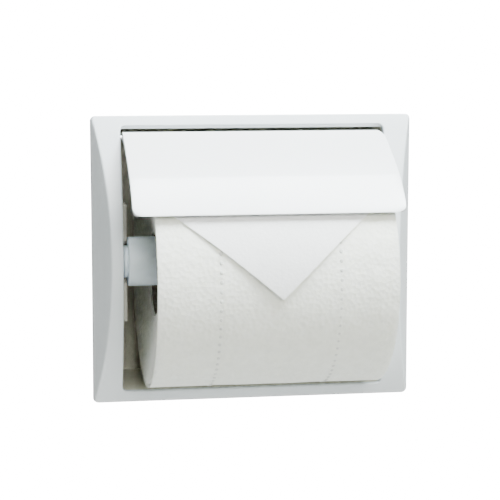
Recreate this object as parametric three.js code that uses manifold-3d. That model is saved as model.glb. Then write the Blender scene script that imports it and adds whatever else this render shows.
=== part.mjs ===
// Recessed toilet paper holder with a crowned front frame, a hinged cover flap,
// a spring-loaded telescopic spindle and a paper roll with a folded leading sheet.
//
// Frame: millimetres, +X to the right as seen from the room, +Y into the wall, +Z up.
// The origin is the centre of the wall opening, on the finished face of the wall.

import * as THREE from "three";
import { mergeVertices } from "three/addons/utils/BufferGeometryUtils.js";
import Module from "manifold-3d";

const wasm = await Module();
wasm.setup();

// ---------- driving dimensions ----------

// front frame
const frameWidth = 160;
const frameHeight = 142;
const frameCrown = 16.9; // how far the front bulges from the wall at mid height
const frameEdge = 1; // thickness left at the top and bottom edges
const cheekInset = 8.7; // how far each side leans in by the crest of the crown
const frameWall = 2.4;
const frameCorner = 2.5;
const pocketHalfHeight = 56; // the side rails are hollow up to here

// opening in the frame, and the tub behind it
const openingHalfWidth = 65.5;
const openingTop = 66;
const openingBottom = -65;
const openingCorner = 2.5;
const stopBar = { bottom: 64.7, front: -1.7, back: -0.5 }; // runs under the top rail, behind the flap
const tubWall = 2;
const tubDepth = 55; // wall face to the outside of the back panel
const tubFront = -0.2;
const seatClearance = 0.3;

// tub ears, which the frame is screwed to
const earReach = 75;
const earFront = -4;
const earThickness = 2;
const earCentreZ = 36;
const earHalfHeight = 6.5;
const earScrewX = 71.7;

// spindle and its socket plates
const spindleY = -8.4;
const spindleZ = 0.5;
const nubRadius = 7.95;
const nubEnd = 65;
const tipRadius = 5.5; // the stepped end of each nub, which sits in a socket in the frame
const tipEnd = 67.2;
const shoulderX = 63.1;
const barrelRadius = 12;
const barrelMouthX = 6;
const plungerRadius = 9.8;
const plungerTailX = -18;
const notchRadius = 8.3;
const notchMouth = 10.4;
const socketRadius = 5.8;
const plateInner = 63.5;
const plateOuter = 65.4;
const plateFront = -11.5;
const plateBack = 14;
const plateHalfHeight = 28.5;
const plateScrewY = 5;
const plateScrewZ = 20;

// flap and its hinge
const hingeY = -3.2;
const hingeZ = 60.4;
const hingeRodRadius = 1.25;
const hingeBoreRadius = 1.35;
const hingeRodEnd = 68.2;
const knuckleRadius = 2.4;
const flapHalfWidth = 64.6;
const flapThickness = 2.2;
const flapCorner = 4.5;
const lipFrontY = -56.8;
const lipBottomZ = 27.4;
const beadRadius = 1.55;

// paper
const rollCentreX = 3;
const rollHalfLength = 57;
const rollRadius = 55;
const rollEdge = 2;
const rollDish = 4.6; // the inner wraps sit that far inside the outer ones at each end
const coreShort = 4.7;
const coreInnerRadius = 19;
const coreOuterRadius = 20.2;
const paperInnerRadius = 20.3;
const rollY = spindleY;
const rollZ = spindleZ + barrelRadius + 0.1 - coreInnerRadius; // the core hangs on the spindle
const tailInnerRadius = rollRadius + 0.4;
const tailOuterRadius = rollRadius + 1.8;
const tailTipX = 4;
const tailTipAngle = -5; // degrees below the foremost line of the roll
const tailTopAngle = 78;
const tailSlopeLeft = 0.83; // rise of the folded edge for each unit across
const tailSlopeRight = 0.96;

// screws
const tubScrew = { y: 28, z: 46, shank: 1.75, head: 3.5, headHeight: 2.2, length: 12.5 };
const smallScrew = { shank: 1.45, clearance: 1.65 };

// ---------- helpers ----------

function solid(geometry) {
  const bare = geometry.clone();
  for (const name of Object.keys(bare.attributes)) {
    if (name !== "position") bare.deleteAttribute(name);
  }
  const merged = mergeVertices(bare, 1e-4);
  return new wasm.Manifold(
    new wasm.Mesh({
      numProp: 3,
      vertProperties: merged.attributes.position.array,
      triVerts: new Uint32Array(merged.index.array),
    }),
  );
}

function geometryOf(body) {
  const mesh = body.getMesh();
  const geometry = new THREE.BufferGeometry();
  geometry.setAttribute("position", new THREE.BufferAttribute(mesh.vertProperties, 3));
  geometry.setIndex(new THREE.BufferAttribute(mesh.triVerts, 1));
  geometry.computeVertexNormals();
  return geometry;
}

function box(x0, x1, y0, y1, z0, z1) {
  const geometry = new THREE.BoxGeometry(x1 - x0, y1 - y0, z1 - z0);
  geometry.translate((x0 + x1) / 2, (y0 + y1) / 2, (z0 + z1) / 2);
  return solid(geometry);
}

// A cylinder along one axis, from one end to the other.
function rod(axis, radius, from, to, centre, sides = 24) {
  const geometry = new THREE.CylinderGeometry(radius, radius, to - from, sides);
  geometry.translate(0, (from + to) / 2, 0);
  if (axis === "x") geometry.rotateZ(-Math.PI / 2);
  geometry.translate(centre.x ?? 0, centre.y ?? 0, centre.z ?? 0);
  return solid(geometry);
}

// A side profile drawn as (y, z), swept along X.
function sweepX(profile, x0, x1) {
  const geometry = new THREE.ExtrudeGeometry(profile, {
    depth: x1 - x0,
    bevelEnabled: false,
    curveSegments: 10,
  });
  const place = new THREE.Matrix4().makeBasis(
    new THREE.Vector3(0, 1, 0),
    new THREE.Vector3(0, 0, 1),
    new THREE.Vector3(1, 0, 0),
  );
  geometry.applyMatrix4(place);
  geometry.translate(x0, 0, 0);
  return solid(geometry);
}

// A front outline drawn as (x, z), swept along Y.
function sweepY(outline, y0, y1) {
  const geometry = new THREE.ExtrudeGeometry(outline, {
    depth: y1 - y0,
    bevelEnabled: false,
    curveSegments: 3,
  });
  geometry.rotateX(Math.PI / 2);
  geometry.translate(0, y1, 0);
  return solid(geometry);
}

// A plan outline drawn as (x, y), swept along Z.
function sweepZ(outline, z0, z1) {
  const geometry = new THREE.ExtrudeGeometry(outline, { depth: z1 - z0, bevelEnabled: false });
  geometry.translate(0, 0, z0);
  return solid(geometry);
}

// A turned piece about a line along X: the profile is a list of (x, radius).
function turned(profile, centre, sides) {
  const points = profile.map(([x, r]) => new THREE.Vector2(r, x));
  const geometry = new THREE.LatheGeometry(points, sides);
  geometry.rotateZ(-Math.PI / 2);
  geometry.translate(centre.x ?? 0, centre.y ?? 0, centre.z ?? 0);
  return solid(geometry);
}

function roundedRectangle(x0, x1, z0, z1, r) {
  const shape = new THREE.Shape();
  shape.moveTo(x0 + r, z0);
  shape.lineTo(x1 - r, z0);
  shape.absarc(x1 - r, z0 + r, r, -Math.PI / 2, 0, false);
  shape.lineTo(x1, z1 - r);
  shape.absarc(x1 - r, z1 - r, r, 0, Math.PI / 2, false);
  shape.lineTo(x0 + r, z1);
  shape.absarc(x0 + r, z1 - r, r, Math.PI / 2, Math.PI, false);
  shape.lineTo(x0, z0 + r);
  shape.absarc(x0 + r, z0 + r, r, Math.PI, 1.5 * Math.PI, false);
  return shape;
}

function mirrorX(body) {
  return body.mirror([1, 0, 0]);
}

// ---------- front frame ----------

const halfHeight = frameHeight / 2;
const crownRise = frameCrown - frameEdge;
const crownRadius = (halfHeight ** 2 + crownRise ** 2) / (2 * crownRise);

function crownBody(sink, zLimit) {
  const centreY = crownRadius - frameCrown;
  const radius = crownRadius - sink;
  const half = Math.asin(zLimit / radius);
  const profile = new THREE.Shape();
  profile.moveTo(1, zLimit);
  profile.lineTo(1, -zLimit);
  profile.absarc(centreY, 0, radius, Math.PI + half, Math.PI - half, true);
  return sweepX(profile, -frameWidth / 2, frameWidth / 2);
}

function cheekBody(inset) {
  const lean = cheekInset / frameCrown;
  const reach = frameCrown + 3;
  const half = frameWidth / 2 - inset;
  const plan = new THREE.Shape();
  plan.moveTo(-half - lean, 1);
  plan.lineTo(half + lean, 1);
  plan.lineTo(half - lean * reach, -reach);
  plan.lineTo(-half + lean * reach, -reach);
  return sweepZ(plan, -halfHeight - 1, halfHeight + 1);
}

function openingPrism(grow, y0, y1) {
  const outline = roundedRectangle(
    -openingHalfWidth - grow,
    openingHalfWidth + grow,
    openingBottom - grow,
    openingTop + grow,
    openingCorner,
  );
  return sweepY(outline, y0, y1);
}

// Everything on one side of the frame that is mirrored to the other.
function railCuts() {
  const returnWall = openingHalfWidth + frameWall - 0.4;
  const pocket = crownBody(frameWall, pocketHalfHeight)
    .intersect(cheekBody(frameWall + 0.3))
    .intersect(box(returnWall, frameWidth / 2, -frameCrown, 2, -pocketHalfHeight, pocketHalfHeight));
  let cuts = pocket;
  for (const side of [-1, 1]) {
    const low = side * earCentreZ - earHalfHeight - seatClearance;
    const high = side * earCentreZ + earHalfHeight + seatClearance;
    const window = box(openingHalfWidth - 1, returnWall + 1, earFront - seatClearance, 1, low, high);
    cuts = cuts.add(window);
  }
  const socket = rod("x", socketRadius, openingHalfWidth - 1, returnWall + 1, { y: spindleY, z: spindleZ }, 32);
  const seatEnd = hingeRodEnd + 0.6;
  const hingeHole = rod("x", hingeBoreRadius, openingHalfWidth - 1, seatEnd, { y: hingeY, z: hingeZ });
  const hingeSlot = box(
    openingHalfWidth - 1,
    seatEnd,
    hingeY,
    1,
    hingeZ - hingeBoreRadius,
    hingeZ + hingeBoreRadius,
  );
  return cuts.add(socket).add(hingeHole).add(hingeSlot);
}

function boss(z) {
  const post = rod("y", 3, -frameCrown, earFront - 0.2, { x: earScrewX, z });
  const pilot = rod("y", smallScrew.clearance, -11, earFront + 1, { x: earScrewX, z });
  return { post, pilot };
}

function frontFrame() {
  const outline = roundedRectangle(
    -frameWidth / 2,
    frameWidth / 2,
    -halfHeight,
    halfHeight,
    frameCorner,
  );
  const shell = crownBody(0, halfHeight)
    .intersect(cheekBody(0))
    .intersect(sweepY(outline, -frameCrown - 1, 0));
  const cuts = railCuts();
  let body = shell.subtract(cuts).subtract(mirrorX(cuts));
  for (const z of [-earCentreZ, earCentreZ]) {
    const { post, pilot } = boss(z);
    const inside = post.intersect(shell);
    body = body.add(inside).add(mirrorX(inside));
    body = body.subtract(pilot).subtract(mirrorX(pilot));
  }
  const seat = openingPrism(tubWall + seatClearance, tubFront - seatClearance, 1);
  const bar = box(
    -openingHalfWidth,
    openingHalfWidth,
    stopBar.front,
    stopBar.back,
    stopBar.bottom,
    openingTop + 1,
  );
  return body.subtract(openingPrism(0, -frameCrown - 1, 1)).subtract(seat).add(bar);
}

// ---------- recess tub ----------

function recessTub() {
  const outside = openingPrism(tubWall, tubFront, tubDepth);
  const inside = openingPrism(0, tubFront - 1, tubDepth - tubWall);
  let body = outside.subtract(inside);
  for (const z of [-earCentreZ, earCentreZ]) {
    const low = z - earHalfHeight;
    const high = z + earHalfHeight;
    const arm = box(openingHalfWidth, openingHalfWidth + tubWall, earFront, 0, low, high);
    const ear = box(openingHalfWidth, earReach, earFront, earFront + earThickness, low, high);
    const hole = rod("y", smallScrew.clearance, earFront - 1, 0, { x: earScrewX, z });
    const lug = arm.add(ear).subtract(hole);
    body = body.add(lug).add(mirrorX(lug));
  }
  const through = [openingHalfWidth - 1, openingHalfWidth + tubWall + 1];
  for (const side of [-1, 1]) {
    const wallHole = rod("x", 2, ...through, { y: tubScrew.y, z: side * tubScrew.z });
    const plateHole = rod("x", smallScrew.clearance, ...through, {
      y: plateScrewY,
      z: side * plateScrewZ,
    });
    const holes = wallHole.add(plateHole);
    body = body.subtract(holes).subtract(mirrorX(holes));
  }
  return body;
}

// ---------- socket plates ----------

// The right-hand plate, with a notch that leads each spindle nub back to its socket.
function socketPlate() {
  const profile = new THREE.Shape();
  profile.moveTo(plateFront, -plateHalfHeight);
  profile.lineTo(plateBack, -plateHalfHeight);
  profile.lineTo(plateBack, plateHalfHeight);
  profile.lineTo(plateFront, plateHalfHeight);
  profile.lineTo(plateFront, spindleZ + notchMouth);
  profile.lineTo(spindleY, spindleZ + notchRadius);
  profile.absarc(spindleY, spindleZ, notchRadius, Math.PI / 2, -Math.PI / 2, true);
  profile.lineTo(plateFront, spindleZ - notchMouth);
  let body = sweepX(profile, plateInner, plateOuter);
  for (const z of [-plateScrewZ, plateScrewZ]) {
    body = body.subtract(
      rod("x", smallScrew.clearance, plateInner - 1, plateOuter + 1, { y: plateScrewY, z }),
    );
  }
  return body;
}

// ---------- flap ----------

// The outer face of the flap from its knuckle to its lip, as points (y, z).
function flapFace() {
  const path = new THREE.Path();
  path.moveTo(hingeY, hingeZ + knuckleRadius);
  path.lineTo(-4.6, 63.2);
  path.quadraticCurveTo(-6.6, 63.3, -8.4, 62.3);
  path.quadraticCurveTo(-24.9, 55, -41.8, 43.9);
  path.quadraticCurveTo(-50.9, 36.8, lipFrontY, lipBottomZ);
  return path.getPoints(7);
}

function flapPlate() {
  const face = flapFace();
  const back = face.map((p, i) => {
    const before = face[Math.max(i - 1, 0)];
    const after = face[Math.min(i + 1, face.length - 1)];
    const along = after.clone().sub(before).normalize();
    return new THREE.Vector2(p.x - along.y * flapThickness, p.y + along.x * flapThickness);
  });
  const profile = new THREE.Shape([...face, ...back.reverse()]);
  const width = [-flapHalfWidth, flapHalfWidth];
  const knuckle = rod("x", knuckleRadius, ...width, { y: hingeY, z: hingeZ });
  const bead = rod("x", beadRadius, ...width, {
    y: lipFrontY + beadRadius,
    z: lipBottomZ + beadRadius,
  }, 16);
  const outline = roundedRectangle(...width, lipBottomZ - 0.2, hingeZ + 30, flapCorner);
  const bore = rod("x", hingeBoreRadius, -flapHalfWidth - 1, flapHalfWidth + 1, {
    y: hingeY,
    z: hingeZ,
  });
  return sweepX(profile, ...width)
    .add(knuckle)
    .add(bead)
    .intersect(sweepY(outline, -60, 5))
    .subtract(bore);
}

// ---------- spindle ----------

const spindleLine = { y: spindleY, z: spindleZ };

function spindleBarrel() {
  const profile = [
    [-tipEnd, 0],
    [-tipEnd, tipRadius - 0.6],
    [-tipEnd + 0.6, tipRadius],
    [-nubEnd, tipRadius],
    [-nubEnd, nubRadius - 0.5],
    [-nubEnd + 0.5, nubRadius],
    [-shoulderX, nubRadius],
    [-shoulderX, barrelRadius - 0.5],
    [-shoulderX + 0.5, barrelRadius],
    [barrelMouthX, barrelRadius],
    [barrelMouthX, plungerRadius + 0.2],
    [barrelMouthX - 3, plungerRadius + 0.2],
    [barrelMouthX - 3, barrelRadius - 1.3],
    [-shoulderX + 2, barrelRadius - 1.3],
    [-shoulderX + 2, tipRadius - 1.3],
    [-tipEnd + 1.3, tipRadius - 1.3],
    [-tipEnd + 1.3, 0],
  ];
  return turned(profile, spindleLine, 48);
}

function spindlePlunger() {
  const bead = barrelRadius - 1.5;
  const profile = [
    [tipEnd - 1.3, 0],
    [tipEnd - 1.3, tipRadius - 1.3],
    [shoulderX - 2, tipRadius - 1.3],
    [shoulderX - 2, plungerRadius - 1.4],
    [plungerTailX, plungerRadius - 1.4],
    [plungerTailX, bead],
    [plungerTailX + 3, bead],
    [plungerTailX + 3, plungerRadius],
    [shoulderX - 0.5, plungerRadius],
    [shoulderX, plungerRadius - 0.5],
    [shoulderX, nubRadius],
    [nubEnd - 0.5, nubRadius],
    [nubEnd, nubRadius - 0.5],
    [nubEnd, tipRadius],
    [tipEnd - 0.6, tipRadius],
    [tipEnd, tipRadius - 0.6],
    [tipEnd, 0],
  ];
  return turned(profile, spindleLine, 40);
}

class Coil extends THREE.Curve {
  constructor(radius, turns, from, to) {
    super();
    Object.assign(this, { radius, turns, from, to });
  }

  getPoint(t, target = new THREE.Vector3()) {
    const angle = t * this.turns * 2 * Math.PI;
    return target.set(
      this.from + t * (this.to - this.from),
      spindleY + this.radius * Math.cos(angle),
      spindleZ + this.radius * Math.sin(angle),
    );
  }
}

function spindleSpring() {
  const wire = 0.6;
  const turns = 8;
  const section = new THREE.Shape();
  section.absarc(0, 0, wire, 0, 2 * Math.PI, false);
  const coil = new Coil(9.4, turns, -shoulderX + 2.8, plungerTailX - 0.8);
  const geometry = new THREE.ExtrudeGeometry(section, {
    extrudePath: coil,
    steps: turns * 14,
    curveSegments: 3,
    bevelEnabled: false,
  });
  return solid(geometry);
}

// ---------- paper ----------

const rollLine = { x: rollCentreX, y: rollY, z: rollZ };

function ring(inner, outer, halfLength, edge, dish, sides) {
  const profile = [
    [-halfLength + dish, inner],
    [-halfLength, outer - edge],
    [-halfLength + 0.3 * edge, outer - 0.3 * edge],
    [-halfLength + edge, outer],
    [halfLength - edge, outer],
    [halfLength - 0.3 * edge, outer - 0.3 * edge],
    [halfLength, outer - edge],
    [halfLength - dish, inner],
    [-halfLength + dish, inner],
  ];
  return turned(profile, rollLine, sides);
}

function coreTube() {
  return ring(coreInnerRadius, coreOuterRadius, rollHalfLength - coreShort, 0.2, 0, 48);
}

// The height of the folded edge on the front of the roll, that far across from the tip.
function foldHeight(across, slope) {
  const angle = THREE.MathUtils.degToRad(tailTipAngle) + (across * slope) / tailOuterRadius;
  return rollZ + tailOuterRadius * Math.sin(angle);
}

function paperTail() {
  const left = rollCentreX - rollHalfLength;
  const right = rollCentreX + rollHalfLength;
  const top = rollZ + tailOuterRadius * Math.sin(THREE.MathUtils.degToRad(tailTopAngle));
  const steps = 6;
  const outline = new THREE.Shape();
  outline.moveTo(left, top);
  for (let i = 0; i <= steps; i++) {
    const across = (tailTipX - left) * (1 - i / steps);
    outline.lineTo(tailTipX - across, foldHeight(across, tailSlopeLeft));
  }
  for (let i = 1; i <= steps; i++) {
    const across = ((right - tailTipX) * i) / steps;
    outline.lineTo(tailTipX + across, foldHeight(across, tailSlopeRight));
  }
  outline.lineTo(right, top);
  const wrap = ring(tailInnerRadius, tailOuterRadius, rollHalfLength, 0.1, 0, 72);
  return wrap.intersect(sweepY(outline, rollY - rollRadius - 5, rollY - 3));
}

// ---------- screws ----------

// A pan-head screw along X or Y: the head sits at `seat` and the shank runs towards `direction`.
function screw(axis, seat, direction, size, centre) {
  const profile = [
    [-size.headHeight, 0],
    [-size.headHeight, size.head * 0.6],
    [-size.headHeight * 0.5, size.head],
    [0, size.head],
    [0, size.shank],
    [size.length - size.shank, size.shank],
    [size.length, 0.2],
    [size.length, 0],
  ];
  const points = profile.map(([along, r]) => new THREE.Vector2(r, along));
  const geometry = new THREE.LatheGeometry(points, 14);
  if (direction < 0) geometry.rotateX(Math.PI);
  if (axis === "x") geometry.rotateZ(-Math.PI / 2);
  const shift = new THREE.Vector3(centre.x ?? 0, centre.y ?? 0, centre.z ?? 0);
  shift[axis] += seat;
  geometry.translate(shift.x, shift.y, shift.z);
  return solid(geometry);
}

// ---------- materials ----------

function material(color, roughness, metalness = 0) {
  return new THREE.MeshStandardMaterial({ color, roughness, metalness });
}

const framePlastic = material(0xf1f3f4, 0.3);
const tubPlastic = material(0xdfe0dc, 0.5);
const spindlePlastic = material(0xd3dade, 0.4);
const steel = material(0xb9bcc0, 0.3, 1);
const paper = material(0xf4f3ef, 0.95);
const cardboard = material(0xb39a78, 0.9);

// ---------- assembly ----------

const holder = new THREE.Group();

function add(name, body, finish) {
  const mesh = new THREE.Mesh(geometryOf(body), finish);
  mesh.name = name;
  holder.add(mesh);
}

add("front_frame", frontFrame(), framePlastic);
add("recess_tub", recessTub(), tubPlastic);
add("right_socket_plate", socketPlate(), framePlastic);
add("left_socket_plate", mirrorX(socketPlate()), framePlastic);
add("hinge_rod", rod("x", hingeRodRadius, -hingeRodEnd, hingeRodEnd, { y: hingeY, z: hingeZ }), steel);
add("cover_flap", flapPlate(), framePlastic);
add("spindle_barrel", spindleBarrel(), spindlePlastic);
add("spindle_plunger", spindlePlunger(), spindlePlastic);
add("spindle_spring", spindleSpring(), steel);
add("core_tube", coreTube(), cardboard);
add("paper_roll", ring(paperInnerRadius, rollRadius, rollHalfLength, rollEdge, rollDish, 72), paper);
add("paper_tail", paperTail(), paper);

for (const [side, sign] of [["left", -1], ["right", 1]]) {
  for (const [level, up] of [["lower", -1], ["upper", 1]]) {
    const frameScrew = { ...smallScrew, head: 2.8, headHeight: 1.5, length: 8 };
    add(
      `frame_screw_${side}_${level}`,
      screw("y", earFront + earThickness, -1, frameScrew, { x: sign * earScrewX, z: up * earCentreZ }),
      steel,
    );
    const plateScrew = { ...smallScrew, head: 2.8, headHeight: 1.4, length: 7 };
    add(
      `plate_screw_${side}_${level}`,
      screw("x", sign * plateInner, sign, plateScrew, { y: plateScrewY, z: up * plateScrewZ }),
      steel,
    );
    add(
      `tub_screw_${side}_${level}`,
      screw("x", sign * openingHalfWidth, sign, tubScrew, { y: tubScrew.y, z: up * tubScrew.z }),
      steel,
    );
  }
}

export default holder;
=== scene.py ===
# Recessed toilet paper holder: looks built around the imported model.
import bmesh
import bpy
import math
import numpy as np
from mathutils import Matrix, Vector


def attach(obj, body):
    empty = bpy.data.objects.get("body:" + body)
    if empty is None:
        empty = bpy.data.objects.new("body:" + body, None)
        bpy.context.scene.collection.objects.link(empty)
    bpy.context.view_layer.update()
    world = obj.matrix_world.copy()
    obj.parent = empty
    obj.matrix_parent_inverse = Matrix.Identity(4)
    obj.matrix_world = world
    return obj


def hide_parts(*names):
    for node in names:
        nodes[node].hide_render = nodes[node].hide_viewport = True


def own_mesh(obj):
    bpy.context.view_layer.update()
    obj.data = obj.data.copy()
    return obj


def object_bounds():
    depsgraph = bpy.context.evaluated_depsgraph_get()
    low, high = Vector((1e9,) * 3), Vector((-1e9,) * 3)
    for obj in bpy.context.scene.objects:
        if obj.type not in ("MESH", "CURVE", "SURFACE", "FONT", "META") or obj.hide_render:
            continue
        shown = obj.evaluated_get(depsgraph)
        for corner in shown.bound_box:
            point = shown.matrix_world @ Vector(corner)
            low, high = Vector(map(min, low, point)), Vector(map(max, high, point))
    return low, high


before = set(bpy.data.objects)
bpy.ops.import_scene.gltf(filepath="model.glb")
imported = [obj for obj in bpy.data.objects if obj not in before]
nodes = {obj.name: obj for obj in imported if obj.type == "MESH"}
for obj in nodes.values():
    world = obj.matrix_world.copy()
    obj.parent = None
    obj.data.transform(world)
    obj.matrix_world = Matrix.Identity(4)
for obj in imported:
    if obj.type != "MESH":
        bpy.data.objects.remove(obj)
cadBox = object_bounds()
mm = 0.001
print("frame loaded:", len(nodes), "nodes")


def addObject(name, data):
    piece = bpy.data.objects.new(name, data)
    bpy.context.scene.collection.objects.link(piece)
    return piece


def smoothMesh(mesh, angle):
    for face in mesh.polygons:
        face.use_smooth = True
    mesh.set_sharp_from_angle(angle=math.radians(angle))


def cleanMesh(name, verts, faces, near, tiny, turnOut=True):
    # Points in millimetres become a mesh in metres, with doubles and slivers merged
    mesh = bpy.data.meshes.new(name)
    mesh.from_pydata([tuple(c * mm for c in v) for v in verts], [], faces)
    bm = bmesh.new()
    bm.from_mesh(mesh)
    bmesh.ops.remove_doubles(bm, verts=bm.verts, dist=near)
    bmesh.ops.dissolve_degenerate(bm, edges=bm.edges, dist=tiny)
    if turnOut:
        bmesh.ops.recalc_face_normals(bm, faces=bm.faces)
    bm.to_mesh(mesh)
    bm.free()
    return mesh


def makePiece(name, verts, faces, finish, smoothAngle=30):
    mesh = cleanMesh(name, verts, faces, near=1e-6, tiny=1e-7)
    piece = addObject(name, mesh)
    mesh.materials.append(finish)
    smoothMesh(mesh, smoothAngle)
    return piece


def bakeModifiers(piece, smoothAngle):
    bpy.context.view_layer.update()
    graph = bpy.context.evaluated_depsgraph_get()
    mesh = bpy.data.meshes.new_from_object(piece.evaluated_get(graph))
    piece.modifiers.clear()
    piece.data = mesh
    smoothMesh(mesh, smoothAngle)


def addBevel(piece, width, segments, sharpest):
    soften = piece.modifiers.new("soften", "BEVEL")
    soften.width = width * mm
    soften.segments = segments
    soften.limit_method = "ANGLE"
    soften.angle_limit = math.radians(sharpest)


def addWeld(piece, reach):
    weld = piece.modifiers.new("weld", "WELD")
    weld.merge_threshold = reach * mm


def combine(piece, other, operation, smoothAngle):
    step = piece.modifiers.new("combine", "BOOLEAN")
    step.operation = operation
    step.solver = "EXACT"
    step.object = other
    bakeModifiers(piece, smoothAngle)
    bpy.data.objects.remove(other)


def stitchLoops(loops):
    # Quads between neighbouring loops of equal length, the last joined to the first
    count = len(loops[0])
    verts = [v for loop in loops for v in loop]
    faces = []
    for i in range(len(loops)):
        a = i * count
        b = ((i + 1) % len(loops)) * count
        for j in range(count):
            k = (j + 1) % count
            faces.append((a + j, a + k, b + k, b + j))
    return verts, faces


def circlePoints(centre, radius, sides):
    turns = [2 * math.pi * i / sides for i in range(sides)]
    return [(centre[0] + radius * math.cos(a), centre[1] + radius * math.sin(a)) for a in turns]


def turnedPiece(name, profile, centre, sides, finish, smoothAngle=30):
    # profile is a closed list of (x, radius); the axis runs along X through centre
    loops = [[(x, y, z) for y, z in circlePoints(centre, radius, sides)] for x, radius in profile]
    verts, faces = stitchLoops(loops)
    return makePiece(name, verts, faces, finish, smoothAngle)


def prismAlongX(x0, x1, section):
    # A closed (y, z) section carried from x0 to x1, as points and faces
    count = len(section)
    verts = [(x, y, z) for x in (x0, x1) for y, z in section]
    faces = [tuple(range(count)), tuple(range(2 * count - 1, count - 1, -1))]
    faces += [(k, (k + 1) % count, count + (k + 1) % count, count + k) for k in range(count)]
    return verts, faces


def joinParts(name, parts, finish):
    verts, faces = [], []
    for partVerts, partFaces in parts:
        base = len(verts)
        verts += partVerts
        faces += [tuple(base + i for i in face) for face in partFaces]
    return makePiece(name, verts, faces, finish)


def quadCurve(start, bend, end, steps):
    out = []
    for i in range(1, steps + 1):
        t = i / steps
        weights = ((1 - t) ** 2, 2 * t * (1 - t), t * t)
        out.append(tuple(sum(w * c for w, c in zip(weights, point)) for point in zip(start, bend, end)))
    return out


noiseRange = {
    "tint": (0.35, 0.65),  # the part of a noise that runs from the low to the high value
    "roughness": (0.3, 0.7),
}


def startFinish(name):
    mat = bpy.data.materials.new(name)
    mat.use_nodes = True
    tree = mat.node_tree
    shader = tree.nodes["Principled BSDF"]
    coords = tree.nodes.new("ShaderNodeTexCoord")
    return mat, tree, shader, coords.outputs["Object"]


def addNoise(tree, where, scale, detail, stretch=(1, 1, 1)):
    mapping = tree.nodes.new("ShaderNodeMapping")
    mapping.inputs["Scale"].default_value = stretch
    tree.links.new(where, mapping.inputs["Vector"])
    noise = tree.nodes.new("ShaderNodeTexNoise")
    noise.inputs["Scale"].default_value = scale
    noise.inputs["Detail"].default_value = detail
    tree.links.new(mapping.outputs["Vector"], noise.inputs["Vector"])
    return noise.outputs["Fac"]


def tintBetween(tree, shader, factor, low, high):
    ramp = tree.nodes.new("ShaderNodeValToRGB")
    for stop, place, colour in zip(ramp.color_ramp.elements, noiseRange["tint"], (low, high)):
        stop.position = place
        stop.color = (*colour, 1)
    tree.links.new(factor, ramp.inputs["Fac"])
    tree.links.new(ramp.outputs["Color"], shader.inputs["Base Color"])


def varyRoughness(tree, shader, factor, low, high):
    span = tree.nodes.new("ShaderNodeMapRange")
    span.inputs["From Min"].default_value, span.inputs["From Max"].default_value = noiseRange["roughness"]
    span.inputs["To Min"].default_value = low
    span.inputs["To Max"].default_value = high
    tree.links.new(factor, span.inputs["Value"])
    tree.links.new(span.outputs["Result"], shader.inputs["Roughness"])


def addBump(tree, shader, height, depth, under=None):
    bump = tree.nodes.new("ShaderNodeBump")
    bump.inputs["Strength"].default_value = 1.0
    bump.inputs["Distance"].default_value = depth
    tree.links.new(height, bump.inputs["Height"])
    if under is not None:
        tree.links.new(under, bump.inputs["Normal"])
    tree.links.new(bump.outputs["Normal"], shader.inputs["Normal"])
    return bump.outputs["Normal"]


def letLightIn(shader, share, reach):
    shader.inputs["Subsurface Weight"].default_value = share
    shader.inputs["Subsurface Radius"].default_value = reach
    shader.inputs["Subsurface Scale"].default_value = 1.0


def mouldedPlastic(name, look):
    mat, tree, shader, where = startFinish(name)
    cloud = addNoise(tree, where, look["cloudScale"], detail=4)
    tintBetween(tree, shader, cloud, look["low"], look["high"])
    wear = addNoise(tree, where, plasticScales["wear"], detail=5)
    varyRoughness(tree, shader, wear, *look["roughness"])
    skin = addBump(tree, shader, addNoise(tree, where, plasticScales["skin"], detail=2), look["grain"])
    addBump(tree, shader, addNoise(tree, where, plasticScales["sink"], detail=2), look["sink"], under=skin)
    shader.inputs["Coat Weight"].default_value = look.get("gloss", 0)
    shader.inputs["Coat Roughness"].default_value = 0.16
    if "glow" in look:
        letLightIn(shader, look["glow"], look["glowReach"])
    return mat


plasticScales = {"wear": 160, "skin": 1400, "sink": 45}
plasticLooks = {
    "frameWhite": dict(low=(0.695, 0.735, 0.765), high=(0.715, 0.755, 0.785), roughness=(0.33, 0.37),
                       cloudScale=22, grain=0.000005, sink=0.000015, gloss=0.3),
    "coverWhite": dict(low=(0.82, 0.835, 0.85), high=(0.845, 0.86, 0.87), roughness=(0.28, 0.31),
                       cloudScale=22, grain=0.000004, sink=0.00001, gloss=0.3),
    # Socket plates: a dark cream that stands for the shade they sit in, painted shade
    "plateCreamPaintedShade": dict(low=(0.395, 0.385, 0.34), high=(0.435, 0.425, 0.38), roughness=(0.42, 0.55),
                       cloudScale=40, grain=0.00004, sink=0.0001),
    # Recess tub: an olive grey that stands for the warm shade inside the recess, painted shade
    "tubOlivePaintedShade": dict(low=(0.71, 0.71, 0.62), high=(0.725, 0.725, 0.635), roughness=(0.55, 0.7),
                    cloudScale=30, grain=0.00005, sink=0.00008),
    "spindleCloudy": dict(low=(0.68, 0.77, 0.84), high=(0.72, 0.81, 0.88), roughness=(0.36, 0.48),
                          cloudScale=60, grain=0.00003, sink=0.0001, glow=0.25,
                          glowReach=(0.002, 0.002, 0.0025)),
}


steelLook = dict(low=(0.52, 0.53, 0.55), high=(0.68, 0.69, 0.71), roughness=(0.22, 0.36),
                 scale=900, detail=3, stretch=(0.08, 1, 1), depth=0.00001, metal=1.0)
boardLook = dict(low=(0.25, 0.225, 0.18), high=(0.36, 0.33, 0.275), roughness=(0.8, 0.95),
                 scale=700, detail=5, stretch=(0.3, 1, 1), depth=0.00008, metal=0.0)


def streakyFinish(name, look):
    # Drawn steel and core board both have streaks along X
    mat, tree, shader, where = startFinish(name)
    streaks = addNoise(tree, where, look["scale"], look["detail"], look["stretch"])
    tintBetween(tree, shader, streaks, look["low"], look["high"])
    varyRoughness(tree, shader, streaks, *look["roughness"])
    addBump(tree, shader, streaks, look["depth"])
    shader.inputs["Metallic"].default_value = look["metal"]
    return mat


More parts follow.
